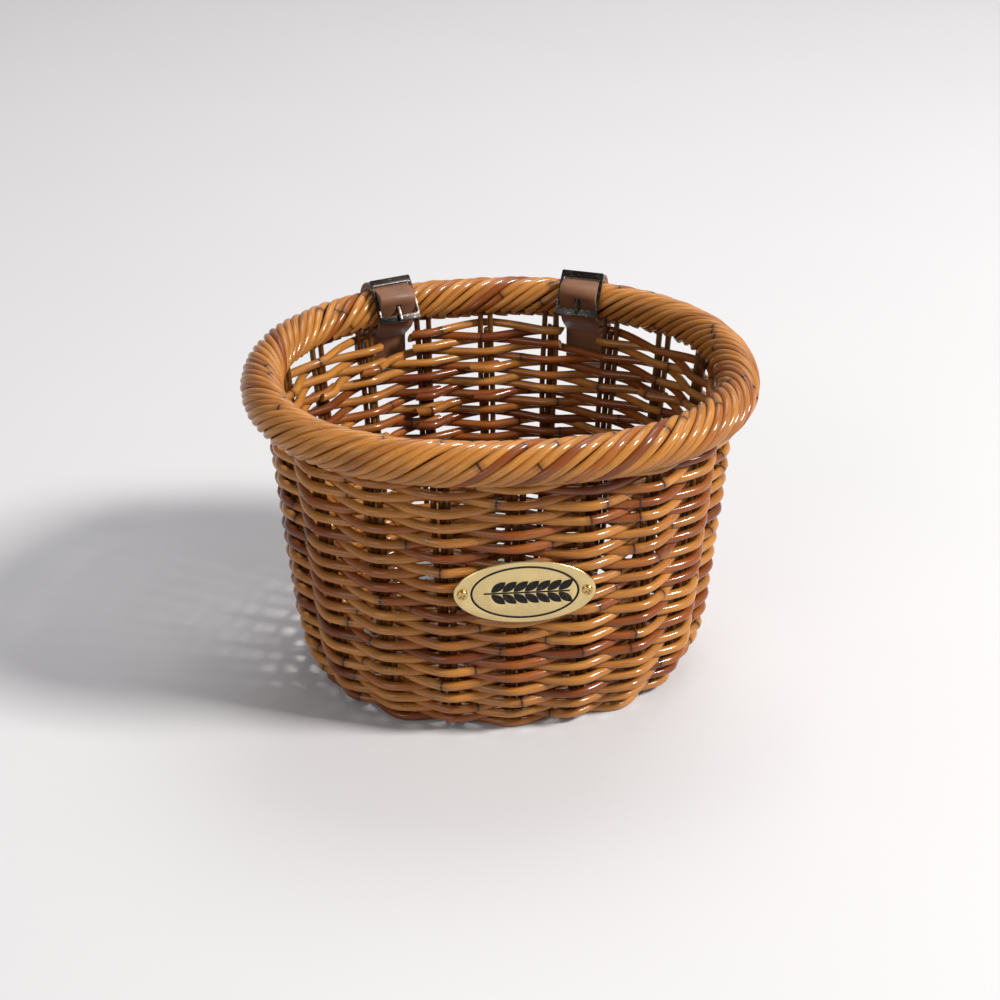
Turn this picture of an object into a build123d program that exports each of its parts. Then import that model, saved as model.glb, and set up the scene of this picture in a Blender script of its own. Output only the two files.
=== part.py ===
"""Woven rattan handlebar basket with a rolled rim, a brass plaque and two buckled leather straps.

The origin is the centre of the underside. +Z is up, +X runs along the handlebar and the front
of the basket faces -Y. All sizes are millimetres.
"""

from build123d import *
from bisect import bisect_right
from math import asin, atan2, ceil, cos, degrees, hypot, radians, sin, tan
import os

os.makedirs("parts", exist_ok=True)

# rim: a round roll on an oval that is a little squarer at the front than at the back
RIM_HALF_WIDTH = 132.6
RIM_FRONT = 113.8
RIM_BACK = 111.4
RIM_HEIGHT = 182.0
RIM_RADIUS = 12.4
FRONT_SQUARENESS = 2.3
BACK_SQUARENESS = 2.1

# wall: the line of the stakes, straight from the rim down and curled in at the foot
WALL_TOP = (127.1, 108.3, 105.9)
WALL_BASE = (112.4, 91.6, 89.7)
TUCK_DEPTH = 12.2
TUCK_HEIGHT = 42.0

# stakes: groups of three upright rods, a little further apart at the back and front than at the sides
STAKE_COUNT = 20
STAKE_SPREAD = 0.0045
STAKE_RADIUS = 1.6
STAKE_PITCH = 3.5
STAKE_BOTTOM = 1.0
STAKE_TOP = 177.0
MIDDLE_STAKE_TOP = 166.0

# weavers: one cane per row, in front of one stake and behind the next
WEAVER_RADIUS = 2.45
WEAVER_OFFSET = 4.35
WEAVER_FLAT = 3.6
WEAVER_BEND = 12.0
ROW_COUNT = 35
ROW_PITCH = 4.8
FIRST_ROW = 2.6

# rolled rim: a core hoop and the strands wound over it
CORE_RADIUS = 4.4
STRAND_COUNT = 100
STRAND_RADIUS = 1.95
STRAND_REACH = 10.6
STRAND_LEAD = 90.0
STRAND_START = -90.0
STRAND_TURN = 294.0
STRAND_STEPS = 6

# base: a foot hoop with a flat underside, cross sticks over it and canes woven along them
FOOT_RADIUS = 2.6
FOOT_HEIGHT = 2.2
FOOT_INSET = 10.9
BASE_STICK_RADIUS = 1.8
BASE_STICK_PITCH = 21.0
BASE_STICK_HEIGHT = 6.7
BASE_STICK_INSET = 8.2
BASE_CANE_RADIUS = 2.0
BASE_CANE_PITCH = 4.4
BASE_CANE_OFFSET = 4.4
BASE_CANE_INSET = 17.6
BASE_CANE_MARGIN = 2.4

# plaque and its screws
PLAQUE_WIDTH = 76.0
PLAQUE_HEIGHT = 40.0
PLAQUE_THICKNESS = 1.2
PLAQUE_CENTRE = 102.5
PLAQUE_SHIFT = 4.5
PLAQUE_GAP = 0.4
PLAQUE_LINE = 3.2
ENGRAVING_DEPTH = 0.3
SCREW_SPACING = 67.0
SCREW_RADIUS = 1.2
SCREW_HOLE_RADIUS = 1.5
SCREW_HEAD_RADIUS = 3.0
SCREW_HEAD_HEIGHT = 1.5
SCREW_LENGTH = 9.0
SLOT_WIDTH = 0.8
SLOT_LENGTH = 3.6

# straps: leather, buckled inside the rim and looped round a handlebar outside it
STRAP_WIDTH = 22.2
STRAP_THICKNESS = 1.9
WINDOW_WIDTH = 24.6
WINDOW_BOTTOM = 153.0
HANDLEBAR_RADIUS = 12.7
HANDLEBAR_OUT = 14.6
HANDLEBAR_HEIGHT = 146.0
WINDOW_BEND_RADIUS = 4.0
WINDOW_BEND_HEIGHT = 161.0
TAIL_END_ANGLE = 20.0
SPARE_HOLE_RADIUS = 1.6

# buckles: an arched frame with a bar across its middle and a tongue on the bar
BUCKLE_ANGLE = 143.0
BAR_RADIUS = 1.4
BAR_LIFT = 4.0
EYE_CLEARANCE = 0.1
FRAME_WIDTH = 25.8
FRAME_OPENING = 22.8
FRAME_LENGTH = 27.6
END_BAR = 3.9
FRAME_THICKNESS = 1.7
ARCH_RADIUS = 70.0
TONGUE_WIDTH = 2.2
TONGUE_THICKNESS = 1.5
TONGUE_LENGTH = 13.4
TONGUE_LOOP_GAP = 0.06
TONGUE_LOOP_WALL = 0.9
TONGUE_LIFT = 1.0
TONGUE_SLOT = 3.4


def oval_point(angle, half_width, front, back):
    """Point of the oval at an angle in radians, counted from +X."""
    depth, power = (back, BACK_SQUARENESS) if sin(angle) > 0 else (front, FRONT_SQUARENESS)
    across = abs(cos(angle)) ** (2 / power)
    along = abs(sin(angle)) ** (2 / power)
    return Vector(
        half_width * (across if cos(angle) > 0 else -across),
        depth * (along if sin(angle) > 0 else -along),
    )


class Oval:
    """An oval of one size, read by the share of its length from the middle of the back."""

    def __init__(self, half_width, front, back, steps=720):
        turn = radians(360) / steps
        self.points = [oval_point(radians(90) + turn * i, half_width, front, back) for i in range(steps + 1)]
        self.lengths = [0.0]
        for a, b in zip(self.points, self.points[1:]):
            self.lengths.append(self.lengths[-1] + (b - a).length)
        self.length = self.lengths[-1]

    def at(self, share):
        """Position and outward direction at a share of the length, leftwards from the back."""
        distance = (share % 1.0) * self.length
        i = min(bisect_right(self.lengths, distance), len(self.points) - 1)
        a, b = self.points[i - 1], self.points[i]
        step = (distance - self.lengths[i - 1]) / (self.lengths[i] - self.lengths[i - 1])
        forward = (b - a).normalized()
        return a + (b - a) * step, Vector(forward.Y, -forward.X)


def wall_oval(height, outward=0.0):
    """The line of the stakes at a height, moved outwards by a distance."""
    rise = height / RIM_HEIGHT
    tuck = TUCK_DEPTH * max(0.0, 1 - height / TUCK_HEIGHT) ** 2
    return Oval(*(top * rise + base * (1 - rise) - tuck + outward for top, base in zip(WALL_TOP, WALL_BASE)))


def stake_share(stake):
    """Share of the way round at which a stake group stands, counted from the middle of the back."""
    return stake / STAKE_COUNT + STAKE_SPREAD * sin(radians(720) * stake / STAKE_COUNT)


def weaver_offset(height):
    """Distance of a row's cane from the stakes' line: more where the stakes lean more."""
    lean = (WALL_TOP[1] - WALL_BASE[1]) / RIM_HEIGHT
    lean += 2 * TUCK_DEPTH / TUCK_HEIGHT * max(0.0, 1 - height / TUCK_HEIGHT)
    return WEAVER_OFFSET * hypot(1, lean)


RIM = Oval(RIM_HALF_WIDTH, RIM_FRONT, RIM_BACK)
STRAP_SHARE = (stake_share(1) + stake_share(2)) / 2


def lift(point, height):
    """A plan point raised to a height."""
    return Vector(point.X, point.Y, height)


def rod(path, radius):
    """A round rod along a path."""
    return sweep(Plane(origin=path @ 0, z_dir=path % 0) * Circle(radius), path=path)


def hoop(oval, height, radius, corners=36):
    """A round rod bent to an oval: short runs with wide arcs between them."""
    points = [lift(oval.at(i / corners)[0], height) for i in range(corners)]
    radii = []
    for i, here in enumerate(points):
        before, after = here - points[i - 1], points[(i + 1) % corners] - here
        turn = radians(before.get_angle(after))
        radii.append(0.45 * min(before.length, after.length) / tan(turn / 2))
    return rod(FilletPolyline(*points, radius=radii, close=True), radius)


def weaver_row(row):
    """One row of weaving: the cane passes outside every other stake group and inside the rest."""
    height = FIRST_ROW + ROW_PITCH * row
    line = wall_oval(height)
    points = []
    for stake in range(STAKE_COUNT):
        side = 1 if (stake + row) % 2 == 0 else -1
        centre, outward = line.at(stake_share(stake))
        along = Vector(-outward.Y, outward.X)
        for end in (-1, 1):
            points.append(lift(centre + outward * weaver_offset(height) * side + along * WEAVER_FLAT * end, height))
    cane = rod(FilletPolyline(*points, radius=WEAVER_BEND, close=True), WEAVER_RADIUS)
    if height > WINDOW_BOTTOM:
        for share in (STRAP_SHARE, -STRAP_SHARE):
            cane -= strap_plane(share) * Pos(0, 0, height) * Box(WINDOW_WIDTH, 40, 10)
    return cane


def stake_rods(offsets, top):
    """The rods of every stake group at the given sideways offsets, following the wall upwards."""
    heights = [STAKE_BOTTOM, 9.0, 17.0, 25.0, 33.0, TUCK_HEIGHT, top]
    rods = []
    for stake in range(STAKE_COUNT):
        for offset in offsets:
            points = []
            for height in heights:
                centre, outward = wall_oval(height).at(stake_share(stake))
                points.append(lift(centre + Vector(-outward.Y, outward.X) * offset, height))
            rods.append(rod(FilletPolyline(*points, radius=30.0), STAKE_RADIUS))
    return rods


def rim_strand(start):
    """One strand of the roll: from under the outer edge over the top to the inner edge."""
    points = []
    for step in range(STRAND_STEPS + 1):
        turned = STRAND_TURN * step / STRAND_STEPS
        angle = radians(STRAND_START + turned)
        share = start + STRAND_LEAD * turned / 360 / RIM.length
        centre, outward = RIM.at(share)
        points.append(lift(centre + outward * STRAND_REACH * cos(angle), RIM_HEIGHT + STRAND_REACH * sin(angle)))
    radii = []
    for before, here, after in zip(points, points[1:], points[2:]):
        turn = radians((here - before).get_angle(after - here))
        radii.append(0.45 * min((here - before).length, (after - here).length) / tan(turn / 2))
    return rod(FilletPolyline(*points, radius=radii), STRAND_RADIUS)


def foot_hoop():
    """The hoop that the basket stands on, cut flat at the floor."""
    return hoop(wall_oval(FOOT_HEIGHT, -FOOT_INSET), FOOT_HEIGHT, FOOT_RADIUS) - Pos(0, 0, -5) * Box(400, 400, 10)


def base_limits(inset):
    """Half-width, front and back of the wall's line at the base, moved in by an inset."""
    line = wall_oval(BASE_STICK_HEIGHT, -inset)
    return max(p.X for p in line.points), -min(p.Y for p in line.points), max(p.Y for p in line.points)


def reach(value, half_width, front, back, along_x):
    """Low and high ends of the straight line across the base at x or y = value."""
    if along_x:
        depth, power = (back, BACK_SQUARENESS) if value > 0 else (front, FRONT_SQUARENESS)
        half = half_width * max(0.0, 1 - (abs(value) / depth) ** power) ** (1 / power)
        return -half, half
    share = abs(value) / half_width
    low = -front * (1 - share ** FRONT_SQUARENESS) ** (1 / FRONT_SQUARENESS)
    return low, back * (1 - share ** BACK_SQUARENESS) ** (1 / BACK_SQUARENESS)


def base_sticks():
    """Straight sticks across the base, front to back, resting on the foot hoop."""
    limits = base_limits(BASE_STICK_INSET)
    sticks = []
    for place in range(-4, 5):
        x = place * BASE_STICK_PITCH
        low, high = reach(x, *limits, along_x=False)
        path = Line((x, low, BASE_STICK_HEIGHT), (x, high, BASE_STICK_HEIGHT))
        sticks.append(rod(path, BASE_STICK_RADIUS))
    return sticks


def base_canes():
    """Canes from side to side, over one cross stick and under the next; none ends just past a stick."""
    limits = base_limits(BASE_CANE_INSET)
    first = ceil(-(limits[1] - BASE_CANE_MARGIN) / BASE_CANE_PITCH)
    last = int((limits[2] - BASE_CANE_MARGIN) / BASE_CANE_PITCH)
    canes = []
    for place in range(first, last + 1):
        y = place * BASE_CANE_PITCH
        half = reach(y, *limits, along_x=True)[1]
        outermost = int(half / BASE_STICK_PITCH - 0.4)
        half = min(half, (outermost + 0.7) * BASE_STICK_PITCH)
        sides = {stick: 1 if (stick + place) % 2 == 0 else -1 for stick in range(-outermost, outermost + 1)}
        rise = BASE_CANE_OFFSET * sides[outermost] / 2
        points = [Vector(-half, y, BASE_STICK_HEIGHT + rise)]
        for stick, side in sides.items():
            points.append(Vector(stick * BASE_STICK_PITCH, y, BASE_STICK_HEIGHT + side * BASE_CANE_OFFSET))
        points.append(Vector(half, y, BASE_STICK_HEIGHT + rise))
        canes.append(rod(FilletPolyline(*points, radius=5.0), BASE_CANE_RADIUS))
    return canes


def plaque_plane():
    """Plane of the plaque's back face: tangent to the leaning front of the wall."""
    front = wall_oval(PLAQUE_CENTRE, WEAVER_OFFSET + WEAVER_RADIUS + PLAQUE_GAP).at(0.5)[0]
    lean = (WALL_TOP[1] - WALL_BASE[1]) / RIM_HEIGHT
    return Plane(origin=(PLAQUE_SHIFT, front.Y, PLAQUE_CENTRE), x_dir=(1, 0, 0), z_dir=(0, -1, -lean))


def leaf(length, width):
    """A pointed leaf outline lying along +Y from the origin: two equal arcs."""
    outline = ThreePointArc((0, 0), (width / 2, length / 2), (0, length))
    return make_face([outline, mirror(outline, about=Plane.YZ)])


def plaque():
    """Oval brass plate with two holes, an engraved border line and an engraved leaf sprig."""
    half_width, half_height = PLAQUE_WIDTH / 2, PLAQUE_HEIGHT / 2
    plate = extrude(Ellipse(half_width, half_height), PLAQUE_THICKNESS)
    plate = chamfer(plate.edges().group_by(Axis.Z)[-1], 0.4)
    for side in (-1, 1):
        plate -= Pos(side * SCREW_SPACING / 2, 0, 0) * Cylinder(SCREW_HOLE_RADIUS, 3 * PLAQUE_THICKNESS)
    line = Ellipse(half_width - 9.0, half_height - PLAQUE_LINE) - Ellipse(half_width - 9.8, half_height - 4.0)
    cut = Pos(0, 0, PLAQUE_THICKNESS - ENGRAVING_DEPTH)
    plate -= extrude(cut * line, 1.0)
    for place in range(-3, 4):
        for side in (-1, 1):
            shape = Pos(place * 6.0, side * 0.8) * Rot(0, 0, -50 if side > 0 else -130) * leaf(9.5, 4.4)
            plate -= extrude(cut * shape, 1.0)
    return plaque_plane() * plate


def plaque_screws():
    """Two cross-head screws through the plaque into the stakes behind it."""
    screws = []
    for side in (-1, 1):
        head = Pos(0, 0, PLAQUE_THICKNESS + 0.02) * extrude(Circle(SCREW_HEAD_RADIUS), SCREW_HEAD_HEIGHT)
        head = fillet(head.edges().group_by(Axis.Z)[-1], SCREW_HEAD_HEIGHT * 0.8)
        for turn in (0, 90):
            slot = Box(SLOT_LENGTH, SLOT_WIDTH, 1.6)
            head -= Pos(0, 0, PLAQUE_THICKNESS + SCREW_HEAD_HEIGHT) * Rot(0, 0, turn + 20) * slot
        top = PLAQUE_THICKNESS + 0.3
        shank = Pos(0, 0, top - SCREW_LENGTH / 2) * Cylinder(SCREW_RADIUS, SCREW_LENGTH)
        screws.append(plaque_plane() * Pos(side * SCREW_SPACING / 2, 0, 0) * (head + shank))
    return screws


def strap_plane(share):
    """Upright frame of a strap: origin under the rim's line, +X along the rim, +Y outwards."""
    centre, outward = RIM.at(share)
    return Plane(origin=centre, x_dir=(outward.Y, -outward.X, 0), z_dir=(0, 0, 1))


def buckle_plane(share):
    """Frame of a buckle: origin on the rim's surface, +X along the centre bar, +Z off the rim."""
    angle = radians(BUCKLE_ANGLE)
    place = Location((0, RIM_RADIUS * cos(angle), RIM_HEIGHT + RIM_RADIUS * sin(angle)), (BUCKLE_ANGLE - 90, 0, 0))
    return strap_plane(share).location * place


def belt(circles, start, end):
    """Path round circles given as (y, z, radius, sense), joined by their common tangents.

    sense is 1 for a left turn and -1 for a right turn. start and end are angles in degrees on
    the first and last circle, from its +Y side.
    """
    directions = []
    for (y1, z1, r1, s1), (y2, z2, r2, s2) in zip(circles, circles[1:]):
        span = hypot(y2 - y1, z2 - z1)
        directions.append(degrees(atan2(z2 - z1, y2 - y1) - asin((s2 * r2 - s1 * r1) / span)))
    edges = []
    last_point = None
    for i, (y, z, radius, sense) in enumerate(circles):
        begin = start if i == 0 else directions[i - 1] - 90 * sense
        finish = end if i == len(circles) - 1 else directions[i] - 90 * sense
        sweep_angle = ((finish - begin) * sense) % 360 * sense
        arc = [begin + sweep_angle * share for share in (0, 0.5, 1)]
        ends = [Vector(0, y + radius * cos(radians(a)), z + radius * sin(radians(a))) for a in arc]
        if last_point is not None:
            edges.append(Line(last_point, ends[0]))
        edges.append(ThreePointArc(*ends))
        last_point = ends[2]
    return Wire([edge for curve in edges for edge in curve.edges()])


def strap(share):
    """One leather strap, from the eye round the buckle's bar to the tail over the rim."""
    angle = radians(BUCKLE_ANGLE)
    half = STRAP_THICKNESS / 2
    bar = ((RIM_RADIUS + BAR_LIFT) * cos(angle), RIM_HEIGHT + (RIM_RADIUS + BAR_LIFT) * sin(angle))
    eye_radius = BAR_RADIUS + EYE_CLEARANCE + half
    first_layer = RIM_RADIUS + 0.35 + half
    loop_radius = HANDLEBAR_RADIUS + 0.1 + half
    bend_out = HANDLEBAR_OUT - loop_radius - WINDOW_BEND_RADIUS
    path = belt(
        [
            (*bar, eye_radius, -1),
            (0, RIM_HEIGHT, first_layer, -1),
            (HANDLEBAR_OUT, HANDLEBAR_HEIGHT, loop_radius, -1),
            (bend_out, WINDOW_BEND_HEIGHT, WINDOW_BEND_RADIUS, 1),
            (0, RIM_HEIGHT, first_layer + 0.3, -1),
            (*bar, eye_radius + STRAP_THICKNESS + 0.3, -1),
            (0, RIM_HEIGHT, first_layer + STRAP_THICKNESS + 0.3, -1),
        ],
        start=BUCKLE_ANGLE - 90 - 150,
        end=TAIL_END_ANGLE,
    )
    section = Plane(origin=path @ 0, x_dir=(1, 0, 0), z_dir=path % 0) * Rectangle(STRAP_WIDTH, STRAP_THICKNESS)
    leather = strap_plane(share) * sweep(section, path=path)
    slot = Pos(0, 0, BAR_LIFT) * Rot(0, 90, 0) * Cylinder(BAR_RADIUS + TONGUE_LOOP_WALL + 0.5, TONGUE_SLOT)
    hole = Pos(0, -4.7, BAR_LIFT + 0.75) * Box(TONGUE_SLOT, 8.2, 4.6)
    spare = Pos(0, 6.8, 0) * Rot(-30, 0, 0) * Cylinder(SPARE_HOLE_RADIUS, 6)
    return leather - buckle_plane(share) * slot - buckle_plane(share) * hole - buckle_plane(share) * spare


def buckle_frame(share):
    """Arched rectangular frame with the centre bar the leather folds round."""
    bore = Pos(0, 0, BAR_LIFT - ARCH_RADIUS) * Rot(0, 90, 0)
    shell = bore * Cylinder(ARCH_RADIUS + FRAME_THICKNESS / 2, FRAME_WIDTH)
    shell -= bore * Cylinder(ARCH_RADIUS - FRAME_THICKNESS / 2, FRAME_WIDTH)
    frame = shell & Pos(0, 0, BAR_LIFT) * Box(FRAME_WIDTH, FRAME_LENGTH, 12)
    frame -= Pos(0, 0, BAR_LIFT) * Box(FRAME_OPENING, FRAME_LENGTH - 2 * END_BAR, 12)
    frame = fillet(frame.edges().filter_by(Axis.Z), 0.9)
    bar = Pos(0, 0, BAR_LIFT) * Rot(0, 90, 0) * Cylinder(BAR_RADIUS, FRAME_WIDTH - 1.0)
    return buckle_plane(share) * (frame + bar)


def buckle_tongue(share):
    """Flat prong with a loop that turns on the centre bar; its tip rests over the lower end bar."""
    bore = Pos(0, 0, BAR_LIFT) * Rot(0, 90, 0)
    inner = BAR_RADIUS + TONGUE_LOOP_GAP
    loop = bore * Cylinder(inner + TONGUE_LOOP_WALL, TONGUE_WIDTH)
    prong = Pos(0, -TONGUE_LENGTH / 2, BAR_LIFT + TONGUE_LIFT) * Box(TONGUE_WIDTH, TONGUE_LENGTH, TONGUE_THICKNESS)
    prong = fillet(prong.edges().filter_by(Axis.Z).group_by(Axis.Y)[0], TONGUE_WIDTH * 0.4)
    return buckle_plane(share) * (loop + prong - bore * Cylinder(inner, TONGUE_WIDTH + 1))


def save(name, *solids):
    """Write one node."""
    shape = solids[0] if len(solids) == 1 else Compound(children=list(solids))
    export_step(shape, f"parts/{name}.step")


save("foot_hoop", foot_hoop())
save("base_sticks", *base_sticks())
save("base_canes", *base_canes())
save("stakes_outer", *stake_rods((-STAKE_PITCH, STAKE_PITCH), STAKE_TOP))
save("stakes_middle", *stake_rods((0,), MIDDLE_STAKE_TOP))
for number in range(ROW_COUNT):
    save(f"weaver_{number + 1:02d}", weaver_row(number))
save("rim_core", hoop(RIM, RIM_HEIGHT, CORE_RADIUS))
save("rim_strands", *(rim_strand(i / STRAND_COUNT) for i in range(STRAND_COUNT)))
save("plaque", plaque())
save("plaque_screws", *plaque_screws())
for side_name, strap_share in (("left", STRAP_SHARE), ("right", -STRAP_SHARE)):
    save(f"strap_{side_name}", strap(strap_share))
    save(f"buckle_frame_{side_name}", buckle_frame(strap_share))
    save(f"buckle_tongue_{side_name}", buckle_tongue(strap_share))
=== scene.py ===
"""Looks of a woven rattan handlebar basket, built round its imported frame.

Every size is in metres unless a name ends in MM. The basket stands on its foot hoop at the
origin, +X runs along the handlebar and the front faces -Y.
"""

import bmesh
import bpy
import numpy as np
from bpy.props import FloatProperty, FloatVectorProperty, IntProperty, PointerProperty
from mathutils import Matrix, Vector


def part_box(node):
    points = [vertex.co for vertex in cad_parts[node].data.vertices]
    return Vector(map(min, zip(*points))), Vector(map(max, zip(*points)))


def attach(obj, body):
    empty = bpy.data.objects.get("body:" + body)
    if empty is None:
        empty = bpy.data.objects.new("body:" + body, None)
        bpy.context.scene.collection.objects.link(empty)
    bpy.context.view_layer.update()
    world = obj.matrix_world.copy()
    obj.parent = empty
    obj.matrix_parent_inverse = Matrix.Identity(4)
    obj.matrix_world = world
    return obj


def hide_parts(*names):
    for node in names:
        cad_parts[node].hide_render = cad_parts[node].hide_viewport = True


bl_info = {
    "name": "Rattan Handlebar Basket",
    "version": (1, 0, 0),
    "blender": (4, 5, 0),
    "location": "View3D > Sidebar > Basket",
    "description": "Builds a woven handlebar basket with a rolled rim, a brass plaque and leather straps",
    "category": "Object",
}

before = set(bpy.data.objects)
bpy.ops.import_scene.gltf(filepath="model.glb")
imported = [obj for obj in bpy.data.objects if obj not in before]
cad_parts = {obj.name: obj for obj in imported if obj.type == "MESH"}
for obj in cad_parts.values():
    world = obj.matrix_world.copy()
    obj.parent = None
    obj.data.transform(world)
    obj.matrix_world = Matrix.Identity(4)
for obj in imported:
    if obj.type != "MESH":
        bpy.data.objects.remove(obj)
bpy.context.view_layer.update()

MM = 0.001
TAU = 2 * np.pi
RIM_LINE = np.array([132.6, 113.8, 111.4]) * MM
WALL_TOP = np.array([127.1, 108.3, 105.9]) * MM
WALL_BASE = np.array([112.4, 91.6, 89.7]) * MM
FRONT_SQUARENESS = 2.3
BACK_SQUARENESS = 2.1
TUCK_DEPTH = 12.2 * MM
TUCK_HEIGHT = 42.0 * MM
RIM_LOW, RIM_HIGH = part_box("rim_core")
RIM_HEIGHT = (RIM_LOW[2] + RIM_HIGH[2]) / 2
RIM_RADIUS = 12.4 * MM
ROW_NODES = sorted(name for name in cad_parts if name.startswith("weaver_"))
STAKE_COUNT = 20
STAKE_SPREAD = 0.0045
STRAP_SHARE = 0.075 + STAKE_SPREAD * (np.sin(TAU / 10) + np.sin(TAU / 5)) / 2
STRAPS = {"left": STRAP_SHARE, "right": -STRAP_SHARE}
STRAP_GAP = 24.6 * MM
STRAP_BOTTOM = 153 * MM


def row_height(node):
    """Height of a row's middle line: the middle of its solid."""
    low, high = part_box(node)
    return (low[2] + high[2]) / 2


# ---------------------------------------------------------------- curves of the basket


def oval(angle, size):
    """Oval of half-width, front and back: x = w |cos|^(2/n), y = d |sin|^(2/n), with their signs."""
    half_width, front, back = size
    behind = np.sin(angle) > 0
    power = 2 / np.where(behind, BACK_SQUARENESS, FRONT_SQUARENESS)
    x = half_width * np.sign(np.cos(angle)) * np.abs(np.cos(angle)) ** power
    y = np.where(behind, back, front) * np.sign(np.sin(angle)) * np.abs(np.sin(angle)) ** power
    return np.stack([x, y], -1)


TABLE_ANGLE = np.linspace(np.pi / 2, np.pi / 2 + TAU, 2881)
TABLE_STEP = np.linalg.norm(np.diff(oval(TABLE_ANGLE, RIM_LINE), axis=0), axis=1)
TABLE_SHARE = np.concatenate([[0], np.cumsum(TABLE_STEP)]) / TABLE_STEP.sum()
RIM_LENGTH = TABLE_STEP.sum()


def around(share, size):
    """Place and outward direction at a share of the way round from the middle of the back.

    The share is turned into the oval's angle by the rim's table of lengths. The outward
    direction is the oval's direction turned a quarter right.
    """
    share = np.asarray(share, float)
    angle = np.interp(share % 1.0, TABLE_SHARE, TABLE_ANGLE)
    nudge = 2e-3
    ahead = oval(angle + nudge, size) - oval(angle - nudge, size)
    ahead /= np.linalg.norm(ahead, axis=-1, keepdims=True)
    return oval(angle, size), np.stack([ahead[..., 1], -ahead[..., 0]], -1)


def stake_share(stake):
    """Share at which a stake group stands: even steps, opened a little at the back and front."""
    return stake / STAKE_COUNT + STAKE_SPREAD * np.sin(2 * TAU * stake / STAKE_COUNT)


def stake_number(share):
    """The reverse of stake_share, in two passes: which stake, as a real number, stands at a share."""
    first = share - STAKE_SPREAD * np.sin(2 * TAU * share)
    return STAKE_COUNT * (share - STAKE_SPREAD * np.sin(2 * TAU * first))


def wall_size(height):
    """Oval of the stakes' line: straight from rim to foot, less a square-law tuck near the foot."""
    height = np.asarray(height, float)
    rise = height / RIM_HEIGHT
    tuck = TUCK_DEPTH * np.clip(1 - height / TUCK_HEIGHT, 0, None) ** 2
    return [top * rise + base * (1 - rise) - tuck for top, base in zip(WALL_TOP, WALL_BASE)]


def on_wall(share, height, outward, sideways=0.0):
    """Point of the wall, moved outwards and sideways along it."""
    share, height, outward = np.broadcast_arrays(np.asarray(share, float), height, outward)
    place, out = around(share, wall_size(height))
    place = place + out * outward[..., None]
    place = place + np.stack([-out[..., 1], out[..., 0]], -1) * sideways
    return np.concatenate([place, height[..., None]], -1), np.concatenate([out, np.zeros_like(out[..., :1])], -1)


def smooth(edge0, edge1, x):
    """Smooth step between two edges: 3t^2 - 2t^3."""
    t = np.clip((x - edge0) / (edge1 - edge0), 0, 1)
    return t * t * (3 - 2 * t)


# ---------------------------------------------------------------- canes


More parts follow.
